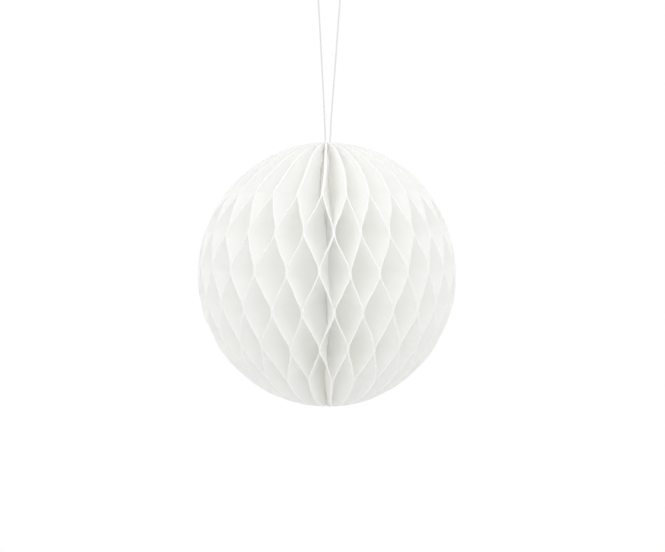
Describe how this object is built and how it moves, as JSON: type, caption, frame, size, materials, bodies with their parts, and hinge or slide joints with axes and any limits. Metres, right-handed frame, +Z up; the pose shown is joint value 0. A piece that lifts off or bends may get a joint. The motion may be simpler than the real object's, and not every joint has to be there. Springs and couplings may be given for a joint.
{
  "type": "honeycomb paper ball",
  "caption": "White hanging ball of honeycomb tissue: half-disc sheets bonded in staggered rows fan round a spine, closed by two end cards and hung on a looped thread.",
  "frame": {"origin": "centre of the ball, on the spine", "axes": "+Z up along the spine to the hanging thread, -Y to the front, +Y to the seam where the end cards meet"},
  "size_m": [0.0974, 0.0974, 0.1679],
  "materials": {
    "tissue": "matte",
    "card": "matte",
    "adhesive": "satin",
    "thread": "matte"
  },
  "bodies": {
    "root": {"honeycomb_paper": "tissue", "left_end_card": "card", "right_end_card": "card", "adhesive_strip": "adhesive", "hanging_thread": "thread"}
  },
  "joints": []
}
